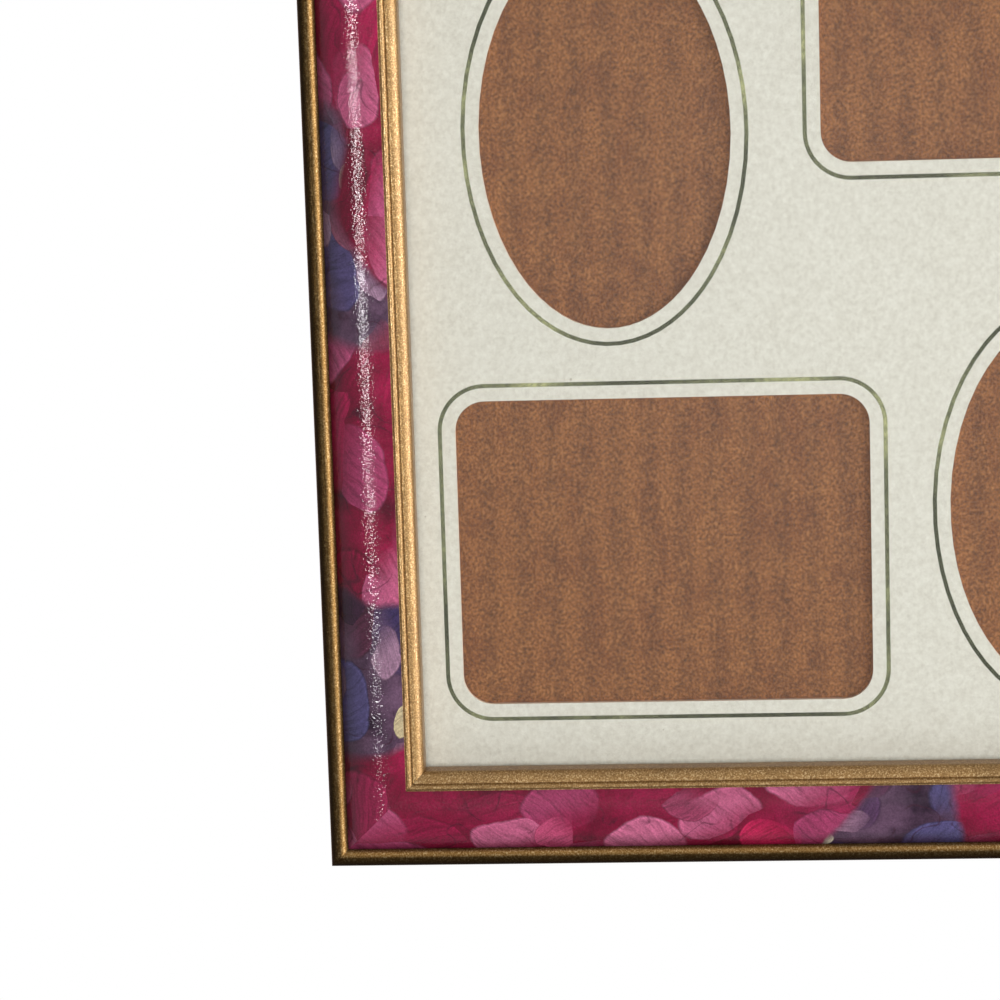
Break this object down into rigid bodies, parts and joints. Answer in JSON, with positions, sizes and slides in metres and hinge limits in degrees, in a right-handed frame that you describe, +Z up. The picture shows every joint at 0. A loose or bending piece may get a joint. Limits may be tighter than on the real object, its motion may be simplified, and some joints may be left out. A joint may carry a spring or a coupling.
{
  "type": "collage photo frame",
  "caption": "Wall-hung collage photo frame: mitred gold moulding with a printed band, glass, a mat with rectangular, oval and round windows, corrugated backing and turn buttons.",
  "frame": {"origin": "centre of the back plane of the rails, where the frame lies against the wall", "axes": "+Z up, +X to the right seen from the front, and the front faces -Y"},
  "size_m": [0.547, 0.0188, 0.4454],
  "materials": {
    "gilded_moulding": "bronze gold paint in front, bare wood behind",
    "printed_paper": "glossy varnished print of petals",
    "glass": "clear polished",
    "mat_board": "matt pale sage paper",
    "kraft_board": "matt brown kraft paper",
    "zinc_plate": "zinc plated",
    "screw_steel": "yellow passivated zinc",
    "nail_steel": "bright drawn"
  },
  "bodies": {
    "frame": {"rail_left": "gilded_moulding", "rail_right": "gilded_moulding", "rail_top": "gilded_moulding", "rail_bottom": "gilded_moulding", "printed_paper_left": "printed_paper", "printed_paper_right": "printed_paper", "printed_paper_top": "printed_paper", "printed_paper_bottom": "printed_paper", "corner_nails": "nail_steel", "glazing": "glass", "mat_board": "mat_board", "backing_front_liner": "kraft_board", "backing_fluting": "kraft_board", "backing_back_liner": "kraft_board", "button_screws": "screw_steel", "sawtooth_hanger_left": "zinc_plate", "sawtooth_hanger_right": "zinc_plate"},
    "turn_button_left": {"turn_button_left": "zinc_plate"},
    "turn_button_right": {"turn_button_right": "zinc_plate"},
    "turn_button_top_left": {"turn_button_top_left": "zinc_plate"},
    "turn_button_top_right": {"turn_button_top_right": "zinc_plate"},
    "turn_button_bottom_left": {"turn_button_bottom_left": "zinc_plate"},
    "turn_button_bottom_right": {"turn_button_bottom_right": "zinc_plate"}
  },
  "joints": [
    {"name": "turn_button_left_pivot", "type": "hinge", "parent": "frame", "child": "turn_button_left", "pos_m": [-0.26415, 0, 0], "axis": [0, 1, 0], "continuous": true},
    {"name": "turn_button_right_pivot", "type": "hinge", "parent": "frame", "child": "turn_button_right", "pos_m": [0.26415, 0, 0], "axis": [0, 1, 0], "continuous": true},
    {"name": "turn_button_top_left_pivot", "type": "hinge", "parent": "frame", "child": "turn_button_top_left", "pos_m": [-0.15, 0, 0.21335], "axis": [0, 1, 0], "continuous": true},
    {"name": "turn_button_top_right_pivot", "type": "hinge", "parent": "frame", "child": "turn_button_top_right", "pos_m": [0.15, 0, 0.21335], "axis": [0, 1, 0], "continuous": true},
    {"name": "turn_button_bottom_left_pivot", "type": "hinge", "parent": "frame", "child": "turn_button_bottom_left", "pos_m": [-0.15, 0, -0.21335], "axis": [0, 1, 0], "continuous": true},
    {"name": "turn_button_bottom_right_pivot", "type": "hinge", "parent": "frame", "child": "turn_button_bottom_right", "pos_m": [0.15, 0, -0.21335], "axis": [0, 1, 0], "continuous": true}
  ]
}
